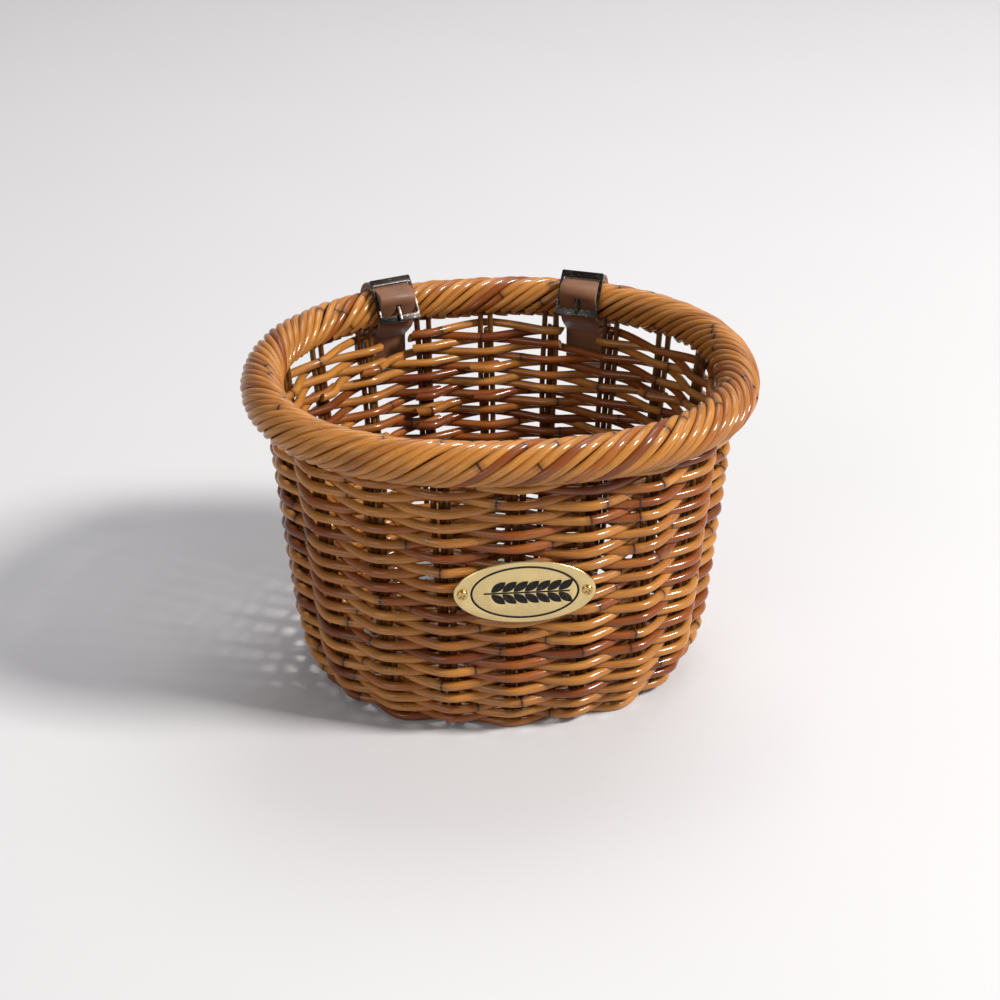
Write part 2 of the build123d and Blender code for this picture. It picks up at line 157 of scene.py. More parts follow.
class Bundle:
    """Canes gathered into one mesh, with a UV along and round each and its own tone."""

    def __init__(self):
        self.verts, self.faces, self.uvs, self.marks = [], [], [], []
        self.count = 0

    def add(self, path, reference, radius, sides, tone, node_gap, slant=0.0, flat=1.0, seed=0.0):
        """A tube: point = path + radius (cos v a + sin v b), closed by a dished fan at each end.

        a is the reference made square to the path and b is their cross product. Marks per
        vertex are tone, distance to the nearest joint in millimetres, and 1 on a cut end.
        """
        count = len(path)
        ahead = np.gradient(path, axis=0)
        ahead /= np.linalg.norm(ahead, axis=1, keepdims=True)
        a = reference - (reference * ahead).sum(1, keepdims=True) * ahead
        a /= np.linalg.norm(a, axis=1, keepdims=True)
        b = np.cross(ahead, a)
        angle = np.arange(sides) / sides * TAU
        radius = np.broadcast_to(radius, count)
        ring = radius[:, None, None] * (
            np.cos(angle)[None, :, None] * a[:, None] * flat + np.sin(angle)[None, :, None] * b[:, None]
        )
        skew = np.zeros((count, sides, 1))
        skew[0] = skew[-1] = (np.cos(angle + seed) * slant * radius[0])[:, None]
        verts = path[:, None] + ring + skew * ahead[:, None]
        along = np.concatenate([[0], np.cumsum(np.linalg.norm(np.diff(path, axis=0), axis=1))])
        i, j = np.meshgrid(np.arange(count - 1), np.arange(sides), indexing="ij")
        i, j = i.ravel(), j.ravel()
        k = (j + 1) % sides
        quads = np.stack([i * sides + j, i * sides + k, (i + 1) * sides + k, (i + 1) * sides + j], 1)
        u0, u1 = along[i] * 10 + seed, along[i + 1] * 10 + seed
        v0, v1 = j / sides, (j + 1) / sides
        quad_uv = np.stack([np.stack([u, v], 1) for u, v in ((u0, v0), (u0, v1), (u1, v1), (u1, v0))], 1)
        base = self.count
        self.verts.append(verts.reshape(-1, 3))
        marks = np.stack([np.broadcast_to(tone, count), node_gap, np.zeros(count)], 1)
        self.marks.append(np.repeat(marks, sides, axis=0))
        self.count += count * sides
        self.faces.append(quads + base)
        self.uvs.append(quad_uv.reshape(-1, 2))
        for end, sign in ((0, -1), (count - 1, 1)):
            rim = verts[end]
            middle = path[end] + ahead[end] * sign * radius[end] * 0.12
            inner = middle + (rim - middle) * 0.78
            cap = np.concatenate([rim, inner, middle[None]])
            start = self.count
            self.verts.append(cap)
            cut = np.ones(len(cap))
            self.marks.append(np.stack([np.full(len(cap), np.mean(tone)), np.full(len(cap), 99.0), cut], 1))
            self.count += len(cap)
            s = np.arange(sides)
            t = (s + 1) % sides
            band = np.stack([s, t, t + sides, s + sides], 1)
            fan = np.stack([s + sides, t + sides, np.full(sides, 2 * sides), np.full(sides, 2 * sides)], 1)
            if sign < 0:
                band, fan = band[:, ::-1], fan[:, ::-1]
            self.faces.append(band + start)
            self.faces.append(fan + start)
            flat_uv = np.stack([cap @ a[end], cap @ b[end]], 1) * 40 + seed
            for faces in (band, fan):
                self.uvs.append(flat_uv[faces].reshape(-1, 2))

    def build(self, name, material):
        """One mesh object from the gathered canes. Fans repeat a corner, which is dropped here."""
        verts = np.concatenate(self.verts)
        faces = np.concatenate(self.faces)
        uvs = np.concatenate(self.uvs).reshape(-1, 4, 2)
        keep = np.ones(faces.shape, bool)
        keep[:, 1:] = faces[:, 1:] != faces[:, :-1]
        sizes = keep.sum(1)
        loops = faces[keep]
        mesh = bpy.data.meshes.new(name)
        mesh.vertices.add(len(verts))
        mesh.vertices.foreach_set("co", verts.astype(np.float32).ravel())
        mesh.loops.add(len(loops))
        mesh.loops.foreach_set("vertex_index", loops.astype(np.int32))
        mesh.polygons.add(len(sizes))
        starts = np.concatenate([[0], np.cumsum(sizes)[:-1]])
        mesh.polygons.foreach_set("loop_start", starts.astype(np.int32))
        mesh.uv_layers.new(name="UVMap").data.foreach_set("uv", uvs[keep].astype(np.float32).ravel())
        marks = np.concatenate(self.marks)
        for column, label in enumerate(("tone", "joint", "cut")):
            values = mesh.attributes.new(label, "FLOAT", "POINT").data
            values.foreach_set("value", marks[:, column].astype(np.float32))
        mesh.update(calc_edges=True)
        mesh.validate()
        mesh.polygons.foreach_set("use_smooth", np.ones(len(mesh.polygons), bool))
        mesh.materials.append(material)
        piece = bpy.data.objects.new(name, mesh)
        bpy.context.collection.objects.link(piece)
        return piece


def cane_stations(length, step, rng, joint_every=0.17):
    """Distances along a cane at an even step, closer at its joints, and the joints' places."""
    places = np.cumsum(rng.uniform(0.7, 1.4, 12)) * joint_every - rng.uniform(0, 0.9) * joint_every
    joints = places[(places > 0.006) & (places < length - 0.006)]
    near = np.array([-3.2, -1.6, -0.8, -0.3, 0.0, 0.3, 0.8, 1.6, 3.2]) * MM
    even = np.linspace(0, length, max(4, int(length / step)))
    if len(joints):
        gap = np.abs(even[:, None] - joints).min(1)
        even = np.sort(np.concatenate([even[(gap > 4 * MM) | (even == 0) | (even == length)],
                                       (joints[:, None] + near).ravel()]))
    return np.clip(even, 0, length), joints


def joint_gap(distances, joints):
    """Distance in millimetres to the nearest joint, 99 where there is none."""
    if not len(joints):
        return np.full(len(distances), 99.0)
    return np.minimum(np.abs(distances[:, None] - joints).min(1) / MM, 99.0)


def swelling(gap, height=0.06):
    """Share by which a cane is thicker near a joint: a small bell with a nick at its middle."""
    return 1 + height * np.exp(-((gap / 1.6) ** 2)) - 0.5 * height * np.exp(-((gap / 0.35) ** 2))


# ---------------------------------------------------------------- materials


class Nodes:
    """Short way to write a material's node tree."""

    def __init__(self, name):
        self.material = bpy.data.materials.new(name)
        self.material.use_nodes = True
        self.tree = self.material.node_tree
        self.shader = self.tree.nodes["Principled BSDF"]

    def add(self, kind, **settings):
        """A node with its properties and, for names that are sockets, its values."""
        node = self.tree.nodes.new(kind)
        for key, value in settings.items():
            if hasattr(node, key):
                setattr(node, key, value)
            else:
                node.inputs[key.replace("_", " ")].default_value = value
        return node

    def link(self, out, into):
        self.tree.links.new(out, into)
        return into

    def mapping(self, source, scale):
        node = self.add("ShaderNodeMapping")
        node.inputs["Scale"].default_value = scale
        self.link(source, node.inputs["Vector"])
        return node.outputs["Vector"]

    def noise(self, source, scale, detail=3.0, roughness=0.55):
        node = self.add("ShaderNodeTexNoise")
        node.inputs["Scale"].default_value = scale
        node.inputs["Detail"].default_value = detail
        node.inputs["Roughness"].default_value = roughness
        self.link(source, node.inputs["Vector"])
        return node.outputs["Fac"]

    def span(self, value, low, high, to_low=0.0, to_high=1.0):
        """Map a value's range to another, clamped."""
        node = self.add("ShaderNodeMapRange", clamp=True)
        for socket, number in (("From Min", low), ("From Max", high), ("To Min", to_low), ("To Max", to_high)):
            node.inputs[socket].default_value = number
        self.link(value, node.inputs["Value"])
        return node.outputs["Result"]

    def math(self, operation, a, b):
        node = self.add("ShaderNodeMath", operation=operation)
        for socket, value in zip(node.inputs, (a, b)):
            if isinstance(value, (int, float)):
                socket.default_value = value
            else:
                self.link(value, socket)
        return node.outputs[0]

    def mix(self, factor, a, b, blend="MIX"):
        node = self.add("ShaderNodeMix", data_type="RGBA", blend_type=blend)
        for socket, value in ((node.inputs[0], factor), (node.inputs[6], a), (node.inputs[7], b)):
            if isinstance(value, (int, float)):
                socket.default_value = value
            elif isinstance(value, (tuple, list)):
                socket.default_value = (*value[:3], 1.0)
            else:
                self.link(value, socket)
        return node.outputs[2]

    def ramp(self, value, stops):
        node = self.add("ShaderNodeValToRGB")
        elements = node.color_ramp.elements
        while len(elements) < len(stops):
            elements.new(0.5)
        for element, (place, colour) in zip(elements, stops):
            element.position = place
            element.color = (*colour, 1.0)
        self.link(value, node.inputs["Fac"])
        return node.outputs["Color"]

    def attribute(self, name):
        return self.add("ShaderNodeAttribute", attribute_name=name).outputs["Fac"]

    def coords(self, kind):
        return self.add("ShaderNodeTexCoord").outputs[kind]

    def bump(self, height, strength, distance):
        node = self.add("ShaderNodeBump")
        node.inputs["Strength"].default_value = strength
        node.inputs["Distance"].default_value = distance
        self.link(height, node.inputs["Height"])
        self.link(node.outputs["Normal"], self.shader.inputs["Normal"])

    def set(self, **values):
        for key, value in values.items():
            self.shader.inputs[key.replace("_", " ")].default_value = value


def rattan(name, dark, middle, light, painted_shade=1.0):
    """Varnished cane: tone per cane, long streaks, freckles, grey bloom, dark joints, pale cut ends, all scaled down by
    the last argument, which is painted shade for canes set back in the wall's gaps or under the basket.
    """
    n = Nodes(name)
    uv = n.coords("UV")
    place = n.coords("Object")
    tone = n.attribute("tone")
    blotch = n.noise(place, 22.0, 3.0)
    mixed = n.math("ADD", n.math("MULTIPLY", tone, 0.72), n.math("MULTIPLY", blotch, 0.34))
    # Painted shade: the ramp colours, and below them the bloom, streak, joint and cut-end colours, are multiplied by
    # the last argument, below 1 for canes that sit in the wall's gaps or under the basket.
    dark, middle, light = (tuple(c * painted_shade for c in colour) for colour in (dark, middle, light))
    colour = n.ramp(mixed, [(0.12, dark), (0.38, middle), (0.62, light), (0.9, tuple(c * 1.12 for c in light))])
    grey = n.span(n.noise(n.mapping(uv, (2.2, 1.6, 1.0)), 2.0, 4.0), 0.52, 0.7)
    colour = n.mix(n.math("MULTIPLY", grey, 0.6), colour, (0.24 * painted_shade, 0.125 * painted_shade, 0.045 * painted_shade))
    streak = n.noise(n.mapping(uv, (2.5, 26.0, 1.0)), 3.0, 5.0, 0.65)
    colour = n.mix(n.span(streak, 0.4, 0.68, 0.0, 0.7), colour, (0.075 * painted_shade, 0.019 * painted_shade, 0.004 * painted_shade))
    freckle = n.noise(n.mapping(uv, (9.0, 5.5, 1.0)), 6.0, 2.0, 0.5)
    patch = n.span(n.noise(place, 38.0, 2.0), 0.5, 0.62)
    speck = n.math("MULTIPLY", n.span(freckle, 0.63, 0.69), patch)
    colour = n.mix(n.math("MULTIPLY", speck, 0.85), colour, (0.03, 0.009, 0.003))
    gap = n.attribute("joint")
    colour = n.mix(n.span(gap, 0.4, 4.0, 0.6, 0.0), colour, (0.10 * painted_shade, 0.03 * painted_shade, 0.007 * painted_shade))
    colour = n.mix(n.span(gap, 0.3, 0.75, 0.95, 0.0), colour, (0.03, 0.009, 0.002))
    cut_grain = n.noise(place, 900.0, 2.0)
    cut_colour = n.ramp(cut_grain, [(0.35, (0.16, 0.085, 0.035)), (0.6, (0.44 * painted_shade, 0.27 * painted_shade, 0.12 * painted_shade))])
    colour = n.mix(n.attribute("cut"), colour, cut_colour)
    n.link(colour, n.shader.inputs["Base Color"])
    rough = n.span(streak, 0.3, 0.75, 0.3, 0.52)
    n.link(rough, n.shader.inputs["Roughness"])
    n.set(Coat_Weight=0.6, Coat_Roughness=0.12, Coat_IOR=1.5, Specular_IOR_Level=0.12)
    n.bump(n.math("ADD", streak, n.math("MULTIPLY", freckle, 0.3)), 0.35, 0.0004)
    return n.material


def leather(name, colour, fleshy):
    """Strap leather: pebbled grain with creases outside, fibrous suede on the flesh side and edges."""
    n = Nodes(name)
    place = n.coords("Object")
    side = n.attribute("flesh")
    broad = n.noise(place, 60.0, 4.0)
    skin = n.mix(n.span(broad, 0.3, 0.7), tuple(c * 0.72 for c in colour), tuple(c * 1.25 for c in colour))
    voronoi = n.add("ShaderNodeTexVoronoi", feature="DISTANCE_TO_EDGE")
    voronoi.inputs["Scale"].default_value = 1500.0
    n.link(place, voronoi.inputs["Vector"])
    pores = n.span(voronoi.outputs["Distance"], 0.0, 0.12)
    skin = n.mix(n.span(pores, 0.0, 1.0, 0.35, 0.0), skin, tuple(c * 0.4 for c in colour))
    fibre = n.noise(n.mapping(place, (1.0, 1.0, 1.6)), 900.0, 4.0, 0.8)
    suede = n.ramp(fibre, [(0.3, tuple(c * 0.35 for c in fleshy)), (0.52, fleshy), (0.75, tuple(c * 1.7 for c in fleshy))])
    n.link(n.mix(side, skin, suede), n.shader.inputs["Base Color"])
    n.link(n.span(side, 0.0, 1.0, 0.42, 0.95), n.shader.inputs["Roughness"])
    height = n.math("ADD", n.math("MULTIPLY", pores, 0.5), n.math("MULTIPLY", fibre, n.span(side, 0.0, 1.0, 0.25, 2.0)))
    n.bump(height, 0.5, 0.0002)
    n.set(Specular_IOR_Level=0.4, Sheen_Weight=0.1)
    return n.material


def brass(name, colour, rough):
    """Brushed pale brass: fine lines along X, a faint cloudy tarnish and tiny pits."""
    n = Nodes(name)
    place = n.coords("Object")
    lines = n.noise(n.mapping(place, (12.0, 900.0, 900.0)), 3.0, 3.0)
    cloud = n.noise(place, 45.0, 4.0)
    base = n.mix(n.span(cloud, 0.3, 0.75), colour, tuple(c * 0.8 for c in colour))
    pits = n.span(n.noise(place, 1400.0, 1.0), 0.72, 0.8)
    base = n.mix(n.math("MULTIPLY", pits, 0.6), base, (0.12, 0.08, 0.03))
    n.link(base, n.shader.inputs["Base Color"])
    n.link(n.span(lines, 0.3, 0.7, rough - 0.07, rough + 0.1), n.shader.inputs["Roughness"])
    n.set(Metallic=1.0)
    n.bump(lines, 0.12, 0.00005)
    return n.material


def enamel(name):
    """Black fill of the engraving, slightly worn."""
    n = Nodes(name)
    worn = n.noise(n.coords("Object"), 700.0, 3.0)
    colour = n.mix(n.span(worn, 0.55, 0.75, 0.0, 0.35), (0.012, 0.011, 0.01), (0.16, 0.12, 0.06))
    n.link(colour, n.shader.inputs["Base Color"])
    n.set(Roughness=0.6, Specular_IOR_Level=0.15)
    return n.material


def gunmetal(name, colour):
    """Dark plated steel: brown-black plating, scratches and bright wear where noise is high."""
    n = Nodes(name)
    place = n.coords("Object")
    wear = n.noise(place, 260.0, 5.0, 0.7)
    scratch = n.noise(n.mapping(place, (30.0, 700.0, 500.0)), 2.0, 4.0)
    base = n.mix(n.span(wear, 0.55, 0.75, 0.0, 0.5), colour, (0.3, 0.28, 0.26))
    base = n.mix(n.span(scratch, 0.6, 0.72, 0.0, 0.3), base, (0.55, 0.52, 0.5))
    n.link(base, n.shader.inputs["Base Color"])
    n.link(n.span(wear, 0.3, 0.7, 0.34, 0.24), n.shader.inputs["Roughness"])
    n.set(Metallic=1.0)
    n.bump(scratch, 0.15, 0.00008)
    return n.material


def paint(name, colour, rough):
    """Plain matt floor with a trace of mottling."""
    n = Nodes(name)
    cloud = n.noise(n.coords("Object"), 4.0, 2.0)
    n.link(n.mix(n.span(cloud, 0.3, 0.7), colour, tuple(c * 0.985 for c in colour)), n.shader.inputs["Base Color"])
    n.set(Roughness=rough, Specular_IOR_Level=0.2)
    return n.material


# ---------------------------------------------------------------- settings


class BasketSizes(bpy.types.PropertyGroup):
    """Sizes of the canes and the weave."""

    weaver_radius: FloatProperty(
        name="Weaver radius", description="Half the thickness of a weaving cane", default=2.6 * MM, unit="LENGTH"
    )
    weave_depth: FloatProperty(
        name="Weave depth", description="How far a weaver stands off the stakes' line", default=4.7 * MM, unit="LENGTH"
    )
    stake_radius: FloatProperty(
        name="Stake radius", description="Half the thickness of an upright rod", default=1.8 * MM, unit="LENGTH"
    )
    stake_pitch: FloatProperty(
        name="Stake pitch", description="Distance between rods of one stake", default=3.6 * MM, unit="LENGTH"
    )
    strand_count: IntProperty(name="Rim strands", description="Strands wound round the rim", default=100)
    strand_radius: FloatProperty(
        name="Strand radius", description="Half the thickness of a rim strand", default=2.4 * MM, unit="LENGTH"
    )
    strand_lead: FloatProperty(
        name="Strand lead", description="Distance that a strand travels in one full turn", default=90 * MM, unit="LENGTH"
    )
    base_cane_radius: FloatProperty(
        name="Base cane radius", description="Half the thickness of a base cane", default=2.1 * MM, unit="LENGTH"
    )


class BasketColours(bpy.types.PropertyGroup):
    """Colours of the canes, leather and metal."""

    cane_dark: FloatVectorProperty(
        name="Cane, dark", description="Reddish brown canes", default=(0.125, 0.02, 0.003), size=3, subtype="COLOR"
    )
    cane_middle: FloatVectorProperty(
        name="Cane, middle", description="Orange brown canes", default=(0.295, 0.072, 0.007), size=3, subtype="COLOR"
    )
    cane_light: FloatVectorProperty(
        name="Cane, light", description="Golden canes", default=(0.50, 0.20, 0.035), size=3, subtype="COLOR"
    )
    strap_brown: FloatVectorProperty(
        name="Strap leather", description="Grain side of the straps", default=(0.195, 0.078, 0.033), size=3, subtype="COLOR"
    )
    strap_flesh: FloatVectorProperty(
        name="Strap flesh side", description="Suede side of the straps", default=(0.22, 0.11, 0.06), size=3, subtype="COLOR"
    )
    plaque_brass: FloatVectorProperty(
        name="Plaque brass", description="Pale brass", default=(0.80, 0.62, 0.30), size=3, subtype="COLOR"
    )
    buckle_dark: FloatVectorProperty(
        name="Buckle plating", description="Dark gunmetal", default=(0.035, 0.029, 0.026), size=3, subtype="COLOR"
    )


def sizes():
    return bpy.context.scene.basket_sizes


def colours():
    return bpy.context.scene.basket_colours


def cane_material(name, painted_shade=1.0):
    c = colours()
    if name in bpy.data.materials:
        return bpy.data.materials[name]
    # The second argument is painted shade: below 1 it darkens this copy of the cane colours.
    return rattan(name, tuple(c.cane_dark), tuple(c.cane_middle), tuple(c.cane_light), painted_shade)


def place(piece, body, slot, *nodes):
    """Let a piece ride on a body and hide the solids that it stands for; its slot is not used."""
    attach(piece, body)
    if nodes:
        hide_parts(*nodes)


# ---------------------------------------------------------------- pieces


def weaver_canes(row, height, rng):
    """The canes of one row as spans of shares: two to a row, or cut at the strap windows."""
    if height > STRAP_BOTTOM:
        half = STRAP_GAP / 2 / RIM_LENGTH
        bay = STRAP_SHARE
        return [(-bay + half, bay - half, False), (bay + half, 1 - bay - half, False)]
    inside = [k for k in range(STAKE_COUNT) if (k + row) % 2]
    first = inside[rng.integers(len(inside) // 2)]
    second = inside[(inside.index(first) + len(inside) // 2 + rng.integers(-1, 2)) % len(inside)]
    low, high = sorted((first, second))
    return [(stake_share(low), stake_share(high), True), (stake_share(high), stake_share(low) + 1, True)]


def weave_row(node, row, material):
    """One row: offset from the stakes' line is depth * arcsin(k cos(pi (stake + row))) / arcsin(k).

    That is a triangle wave with rounded tips, outside one stake and inside the next. Where two
    canes meet, both run past the stake inside the wall and the older one lies further in.
    """
    s = sizes()
    rng = np.random.default_rng(100 + row)
    bundle = Bundle()
    height = row_height(node)
    length = RIM_LENGTH * float(wall_size(height)[0] / RIM_LINE[0])
    overrun = 9 * MM / length
    roundness = 0.9
    row_tone = rng.normal(0.5, 0.1)
    for low, high, tucked in weaver_canes(row, height, rng):
        if tucked:
            low, high = low - overrun, high + overrun
        distance, joints = cane_stations((high - low) * length, 3.1 * MM, rng, joint_every=0.1)
        share = low + distance / length
        gap = joint_gap(distance, joints)
        phase = np.pi * (stake_number(share) + row)
        wave = np.arcsin(roundness * np.cos(phase)) / np.arcsin(roundness)
        outward = s.weave_depth * wave
        calm = 0.3 if height < 6 * MM else 1.0
        drift = 0.55 * MM * calm * np.sin(TAU * (share * rng.integers(2, 5) + rng.random()))
        bow = 0.5 * MM * calm * np.sin(TAU * (share * rng.integers(6, 11) + rng.random()))
        to_start, to_end = distance, distance[-1] - distance
        if tucked:
            outward = outward - 4.4 * MM * (1 - smooth(8 * MM, 26 * MM, to_end))
            drift = drift + 0.6 * MM * (1 - smooth(6 * MM, 20 * MM, to_start))
        path, out = on_wall(share, height + np.maximum(drift + bow, 2.7 * MM - height), outward)
        segment = np.searchsorted(joints, distance)
        tone = np.clip(row_tone + rng.normal(0, 0.12) + rng.normal(0, 0.23, len(joints) + 1)[segment], 0.02, 0.98)
        thick = s.weaver_radius * rng.uniform(0.93, 1.05) * swelling(gap)
        thick = thick * (1 + 0.04 * np.sin(TAU * (distance / 0.09 + rng.random())))
        bundle.add(path, out, thick, 12, tone, gap, slant=rng.uniform(0.3, 0.9), flat=0.97, seed=rng.uniform(0, 50))
    piece = bundle.build(f"cane_{node}", material)
    place(piece, "basket", "weaver_cane", node)


class BASKET_OT_weave(bpy.types.Operator):
    """Weave the wall, one row of cane at a time"""

    bl_idname = "basket.weave"
    bl_label = "Weave the wall"

    def execute(self, context):
        material = cane_material("varnished_weaving_cane")
        for row, node in enumerate(ROW_NODES):
            weave_row(node, row, material)
        return {"FINISHED"}


class BASKET_OT_stakes(bpy.types.Operator):
    """Stand the groups of upright rods that the weavers pass"""

    bl_idname = "basket.stakes"
    bl_label = "Stand the stakes"

    def execute(self, context):
        s = sizes()
        # 0.36 is painted shade: it darkens the stakes so that the gaps between the weavers read dark.
        material = cane_material("stake_cane_painted_shade", 0.36)
        for node, offsets in (("stakes_outer", (-1, 1)), ("stakes_middle", (0,))):
            rng = np.random.default_rng(7 + len(offsets))
            low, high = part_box(node)
            bottom = low[2] + 2 * MM
            bundle = Bundle()
            for stake in range(STAKE_COUNT):
                for offset in offsets:
                    top = high[2] + rng.uniform(-3, 1) * MM
                    distance, joints = cane_stations(top - bottom, 4.5 * MM, rng, joint_every=0.1)
                    height = bottom + distance
                    sideways = s.stake_pitch * offset + rng.uniform(-0.5, 0.5) * MM
                    bend = 0.5 * MM * np.sin(TAU * (height / 0.12 + rng.random()))
                    share = np.full(len(height), stake_share(stake))
                    path, out = on_wall(share, height, rng.uniform(-0.3, 0.3) * MM, 0.0)
                    along = np.stack([-out[:, 1], out[:, 0], np.zeros(len(out))], 1)
                    path = path + along * (sideways + bend)[:, None]
                    gap = joint_gap(distance, joints)
                    tone = np.clip(rng.normal(0.42 if offset else 0.25, 0.15), 0.02, 0.9)
                    radius = s.stake_radius * rng.uniform(0.92, 1.06) * swelling(gap, 0.08)
                    bundle.add(path, out, radius, 10, tone, gap, slant=0.4, seed=rng.uniform(0, 50))
            piece = bundle.build(f"rods_{node}", material)
            place(piece, "basket", "stake_cane", node)
        return {"FINISHED"}


class BASKET_OT_rim(bpy.types.Operator):
    """Wind the rim's strands over its core"""

    bl_idname = "basket.rim"
    bl_label = "Wind the rim"

    def execute(self, context):
        """Strand: rim line + r (cos a outwards + sin a up), a rising evenly as the share advances."""
        s = sizes()
        rng = np.random.default_rng(3)
        bundle = Bundle()
        start_angle, turn = np.radians(-112), np.radians(330)
        for strand in range(s.strand_count):
            radius = s.strand_radius * rng.uniform(0.95, 1.05)
            reach = RIM_RADIUS - s.strand_radius + rng.uniform(-0.25, 0.3) * MM
            lead = s.strand_lead * turn / TAU
            length = float(np.hypot(lead, reach * turn))
            distance, joints = cane_stations(length, 2.6 * MM, rng, joint_every=0.14)
            part = distance / length
            angle = start_angle + turn * part
            shift = (strand + rng.uniform(-0.12, 0.12)) / s.strand_count
            share = shift + s.strand_lead / RIM_LENGTH * (angle - np.radians(-90)) / TAU
            share = share + 0.4 * MM / RIM_LENGTH * np.sin(TAU * (part * 1.3 + rng.random()))
            middle, out = around(share, RIM_LINE)
            out = np.concatenate([out, np.zeros((len(out), 1))], 1)
            spoke = out * np.cos(angle)[:, None] + np.array([0, 0, 1.0]) * np.sin(angle)[:, None]
            path = np.concatenate([middle, np.full((len(middle), 1), RIM_HEIGHT)], 1) + spoke * reach
            gap = joint_gap(distance, joints)
            squeeze = 1 - 0.1 * smooth(0.4, 1.0, -np.cos(angle))
            ends = 0.75 + 0.25 * smooth(0, 0.1, np.minimum(part, 1 - part))
            segment = np.searchsorted(joints, distance)
            tone = np.clip(rng.normal(0.6, 0.2) + rng.normal(0, 0.12, len(joints) + 1)[segment], 0.05, 0.98)
            bundle.add(
                path, spoke, radius * swelling(gap, 0.04) * squeeze * ends, 12, tone, gap, slant=0.3, flat=0.92,
                seed=rng.uniform(0, 50),
            )
        piece = bundle.build("rim_winding", cane_material("varnished_rim_cane"))
        place(piece, "basket", "rim_cane", "rim_strands")
        # The core hidden under the strands takes the stake cane with its painted shade.
        core = closed_hoop("rim_core_hoop", RIM_LINE, RIM_HEIGHT, 5.2 * MM, 0.3, "stake_cane_painted_shade")
        place(core, "basket", "rim_cane", "rim_core")
        return {"FINISHED"}


def closed_hoop(name, size, height, radius, tone, material):
    """A cane bent to an oval whose two ends lap by a few millimetres."""
    bundle = Bundle()
    share = np.linspace(0.5, 1.508, 260)
    middle, out = around(share, size)
    path = np.concatenate([middle, np.full((len(middle), 1), height)], 1)
    out = np.concatenate([out, np.zeros((len(out), 1))], 1)
    path = path + out * (1.2 * MM * smooth(1.0, 1.5, share))[:, None]
    bundle.add(path, out, radius, 14, tone, np.full(len(path), 99.0), slant=0.8)
    # 0.62 is painted shade for a hoop under the wall or inside the rim; it counts only when this call first makes the
    # material.
    return bundle.build(name, cane_material(material, 0.62))


class BASKET_OT_base(bpy.types.Operator):
    """Lay the foot hoop, the cross sticks and the canes woven through them"""

    bl_idname = "basket.base"
    bl_label = "Make the base"

    def execute(self, context):
        self.foot()
        self.sticks()
        self.canes()
        return {"FINISHED"}

    def foot(self):
        """The foot hoop follows the solid's own box: its oval less half its height."""
        low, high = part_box("foot_hoop")
        radius = (high[2] - low[2]) / 2
        size = (high[0] - radius, -low[1] - radius, high[1] - radius)
        hoop = closed_hoop("foot_ring", size, radius, radius, 0.35, "base_cane_painted_shade")
        place(hoop, "basket", "base_cane", "foot_hoop")

    def sticks(self):
        """Straight rods front to back at one pitch, each as long as the oval is there."""
        rng = np.random.default_rng(21)
        foot_low, foot_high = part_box("foot_hoop")
        low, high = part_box("base_sticks")
        height = (low[2] + high[2]) / 2
        radius = (high[2] - low[2]) / 2
        bundle = Bundle()
        for stick in range(-4, 5):
            x = stick * 21 * MM
            share = abs(x) / (foot_high[0] - low[1] + foot_low[1])
            y0 = low[1] * (1 - share**FRONT_SQUARENESS) ** (1 / FRONT_SQUARENESS)
            y1 = high[1] * (1 - share**BACK_SQUARENESS) ** (1 / BACK_SQUARENESS)
            distance, joints = cane_stations(y1 - y0, 5 * MM, rng)
            zeros = np.zeros(len(distance))
            path = np.stack([x + zeros, y0 + distance, height + zeros], 1)
            gap = joint_gap(distance, joints)
            up = np.broadcast_to([0.0, 0.0, 1.0], path.shape)
            bundle.add(path, up, radius * swelling(gap), 10, rng.uniform(0.2, 0.7), gap, slant=0.5, seed=x * 900)
        # 0.62 is painted shade for the base under the basket.
        piece = bundle.build("base_cross_sticks", cane_material("base_cane_painted_shade", 0.62))
        place(piece, "basket", "base_cane", "base_sticks")

    def canes(self):
        """Canes side to side: height = stick height + depth cos(pi (x / pitch + row)), rows at one pitch."""
        rng = np.random.default_rng(22)
        low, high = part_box("base_canes")
        stick_low, stick_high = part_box("base_sticks")
        height = (stick_low[2] + stick_high[2]) / 2
        radius = sizes().base_cane_radius
        depth = (high[2] - low[2]) / 2 - radius
        rows = round((high[1] - low[1] - 2 * radius) / (4.4 * MM))
        bundle = Bundle()
        for row in range(rows + 1):
            y = low[1] + radius + row * (high[1] - low[1] - 2 * radius) / rows
            outer = abs(y) / (-low[1] + 1.5 * MM if y < 0 else high[1] + 1.5 * MM)
            power = BACK_SQUARENESS if y > 0 else FRONT_SQUARENESS
            half = high[0] * (1 - outer**power) ** (1 / power)
            distance, joints = cane_stations(2 * half, 3.5 * MM, rng)
            x = distance - half
            wave = depth * np.cos(np.pi * (x / (21 * MM) + row))
            path = np.stack([x, y + 0.3 * MM * np.sin(x * 90 + row), height + wave], 1)
            gap = joint_gap(distance, joints)
            side = np.broadcast_to([0.0, 1.0, 0.0], path.shape)
            tone = np.clip(rng.normal(0.45, 0.2), 0, 1)
            bundle.add(path, side, radius * swelling(gap), 10, tone, gap, slant=0.6, seed=rng.uniform(0, 50))
        # 0.62 is painted shade for the base under the basket.
        piece = bundle.build("base_weave", cane_material("base_cane_painted_shade", 0.62))
        place(piece, "basket", "base_cane", "base_canes")


PLAQUE_LEAN = (WALL_TOP[1] - WALL_BASE[1]) / RIM_HEIGHT


